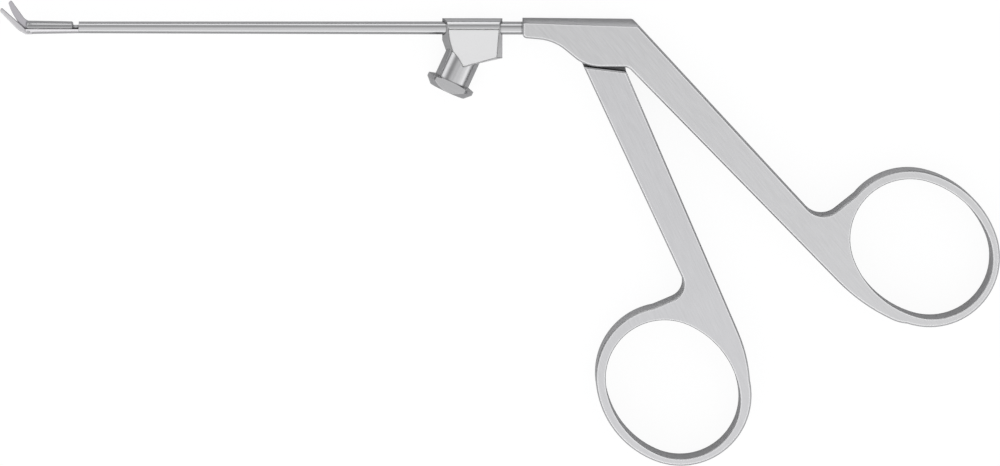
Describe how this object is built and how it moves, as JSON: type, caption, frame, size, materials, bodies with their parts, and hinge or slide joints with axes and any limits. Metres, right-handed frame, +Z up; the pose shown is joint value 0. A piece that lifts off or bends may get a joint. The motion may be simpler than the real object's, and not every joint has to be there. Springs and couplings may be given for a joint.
{
  "type": "micro scissors",
  "caption": "Steel micro scissors with ring handles set square to a long thin tube shaft, a small port with a tapered socket, and tiny blades angled up at the tip.",
  "frame": {"origin": "the handle pivot axis on the resting plane, in the middle of the pivot screw's flush head", "axes": "+X along the shaft from the blades towards the handles, +Y from the finger rings up to the shaft, +Z up out of the resting plane along the handle pivot"},
  "size_m": [0.1594, 0.0742, 0.006],
  "materials": {
    "satin_steel": "fine satin, even grey",
    "polished_steel": "polished",
    "blade_steel": "fine ground"
  },
  "bodies": {
    "frame": {"rear_handle": "satin_steel", "shaft_tube": "polished_steel", "port_block": "satin_steel", "luer_hub": "satin_steel", "lower_blade": "blade_steel", "handle_pivot_screw": "polished_steel", "blade_pivot_pin": "polished_steel", "rod_guide_bush": "satin_steel"},
    "front_lever": {"front_handle": "satin_steel"},
    "rod_group": {"push_rod": "polished_steel", "rod_end_ball": "polished_steel", "slider": "blade_steel", "blade_drive_pin": "polished_steel"},
    "moving_blade": {"upper_blade": "blade_steel"}
  },
  "joints": [
    {"name": "handle_pivot", "type": "hinge", "parent": "frame", "child": "front_lever", "pos_m": [0, 0, 0.003], "axis": [0, 0, 1], "range_deg": [0, 7]},
    {"name": "rod_slide", "type": "slide", "parent": "frame", "child": "rod_group", "axis": [-1, 0, 0], "range_m": [0, 0.000355]},
    {"name": "blade_pivot", "type": "hinge", "parent": "frame", "child": "moving_blade", "pos_m": [-0.09145, 0.00234, 0.003], "axis": [0, 0, 1], "range_deg": [0, 20.34]}
  ],
  "couplings": [
    {"joint": "rod_slide", "follows": "handle_pivot", "m_per_rad": 0.0029},
    {"joint": "blade_pivot", "follows": "handle_pivot", "ratio": 2.9}
  ]
}
